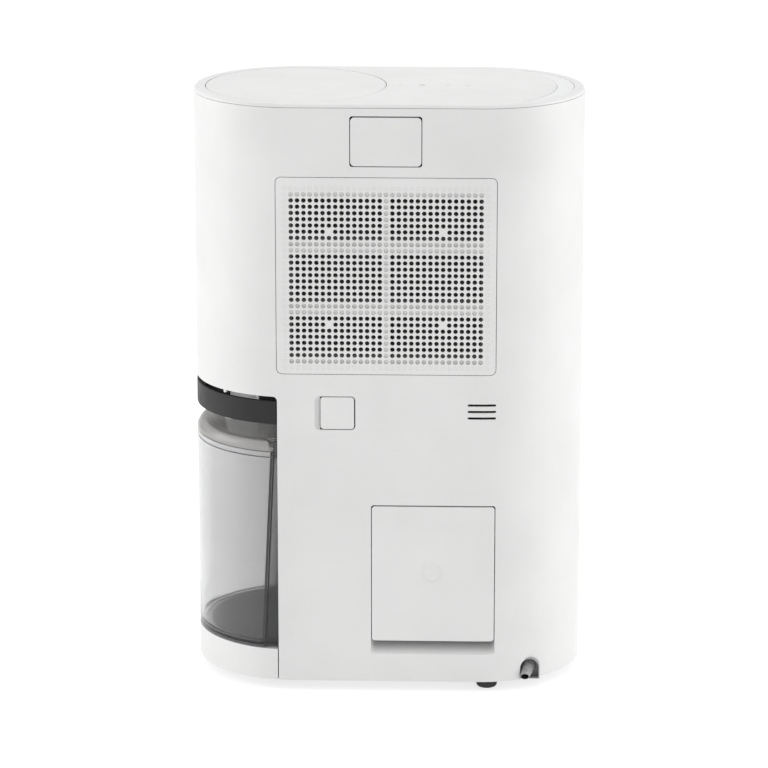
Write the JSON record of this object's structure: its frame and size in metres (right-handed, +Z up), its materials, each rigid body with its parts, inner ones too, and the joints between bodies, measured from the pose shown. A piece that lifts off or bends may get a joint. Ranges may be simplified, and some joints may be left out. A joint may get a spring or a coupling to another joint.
{
  "type": "dehumidifier",
  "caption": "Compact stadium-plan dehumidifier with rear air grille, end-loading water tank with bail handle, hinged outlet lid and service doors.",
  "frame": {"origin": "on the floor, at the centre of the box that holds the object", "axes": "+X towards the tank end, +Y towards the back with the air grille, +Z up"},
  "size_m": [0.369, 0.193, 0.57],
  "materials": {
    "housing_white": "fine satin moulding",
    "handle_charcoal": "matt charcoal moulding",
    "tank_smoke": "clear smoked plastic, polished",
    "inner_grey": "plain moulding",
    "inner_black": "plain moulding",
    "rubber_black": "matt",
    "boot_grey": "soft moulding",
    "lens_white": "frosted",
    "fin_aluminium": "mill finish",
    "pipe_copper": "drawn copper",
    "compressor_enamel": "black enamel",
    "pin_steel": "turned",
    "board_green": "solder mask",
    "filter_mesh": "fine net",
    "float_white": "closed-cell foam"
  },
  "bodies": {
    "housing": {"rear_housing": "housing_white", "front_housing": "housing_white", "top_cover": "housing_white", "status_lens": "lens_white", "base_pan": "inner_grey", "foot_1": "rubber_black", "foot_2": "rubber_black", "foot_3": "rubber_black", "foot_4": "rubber_black", "tank_bay_liner": "inner_grey", "upper_pocket": "inner_grey", "cord_pocket": "housing_white", "drain_recess": "housing_white", "drain_port": "boot_grey", "cord_gland": "boot_grey", "outlet_duct": "inner_grey", "outlet_vanes": "handle_charcoal", "lid_motor": "inner_black", "touch_board": "board_green", "control_board": "board_green", "humidity_sensor": "board_green", "run_capacitor": "fin_aluminium", "evaporator": "fin_aluminium", "condenser": "fin_aluminium", "drip_tray": "inner_grey", "drain_spout": "inner_grey", "compressor": "compressor_enamel", "compressor_mount_1": "rubber_black", "compressor_mount_2": "rubber_black", "compressor_mount_3": "rubber_black", "accumulator": "pipe_copper", "accumulator_pipe": "pipe_copper", "discharge_pipe": "pipe_copper", "suction_pipe": "pipe_copper", "capillary_tube": "pipe_copper", "fan_scroll": "inner_grey", "fan_motor": "inner_black", "tank_full_switch": "inner_black"},
    "fan": {"fan_wheel": "inner_black"},
    "outlet_lid": {"outlet_lid": "housing_white"},
    "grille": {"rear_grille": "housing_white", "filter_frame": "inner_grey", "filter_mesh": "filter_mesh"},
    "upper_door": {"upper_door": "housing_white"},
    "drain_cover": {"drain_cover": "housing_white"},
    "cord_door": {"cord_door": "housing_white"},
    "tank": {"tank_body": "tank_smoke", "tank_skirt": "housing_white", "tank_lid": "tank_smoke", "lid_dome": "lens_white", "handle_pin_front": "pin_steel", "handle_pin_rear": "pin_steel", "float_pin": "pin_steel"},
    "float": {"tank_float": "float_white", "float_magnet": "pin_steel"},
    "handle": {"tank_handle": "handle_charcoal"}
  },
  "joints": [
    {"name": "tank_slide", "type": "slide", "parent": "housing", "child": "tank", "axis": [1, 0, 0], "range_m": [0, 0.25]},
    {"name": "handle_lift", "type": "hinge", "parent": "tank", "child": "handle", "pos_m": [0.095, 0, 0.251], "axis": [0, -1, 0], "range_deg": [0, 85]},
    {"name": "float_rise", "type": "hinge", "parent": "tank", "child": "float", "pos_m": [0.063, 0, 0.231], "axis": [0, -1, 0], "range_deg": [0, 18]},
    {"name": "outlet_lid_tilt", "type": "hinge", "parent": "housing", "child": "outlet_lid", "pos_m": [0.088, 0.0844, 0.5696], "axis": [-1, 0, 0], "range_deg": [0, 70]},
    {"name": "grille_tilt", "type": "hinge", "parent": "housing", "child": "grille", "pos_m": [0, 0.0952, 0.3147], "axis": [-1, 0, 0], "range_deg": [0, 30]},
    {"name": "upper_door_lift", "type": "hinge", "parent": "housing", "child": "upper_door", "pos_m": [0, 0.0952, 0.5566], "axis": [1, 0, 0], "range_deg": [0, 85]},
    {"name": "drain_cover_swing", "type": "hinge", "parent": "housing", "child": "drain_cover", "pos_m": [0.0313, 0.0952, 0], "axis": [0, 0, 1], "range_deg": [0, 78]},
    {"name": "cord_door_lift", "type": "hinge", "parent": "housing", "child": "cord_door", "pos_m": [0, 0.0952, 0.1831], "axis": [1, 0, 0], "range_deg": [0, 85]},
    {"name": "fan_spin", "type": "hinge", "parent": "housing", "child": "fan", "pos_m": [0, 0, 0.405], "axis": [0, 1, 0], "continuous": true}
  ],
  "couplings": [
    {"joint": "handle_lift", "follows": "tank_slide", "rad_per_m": 5.93}
  ]
}
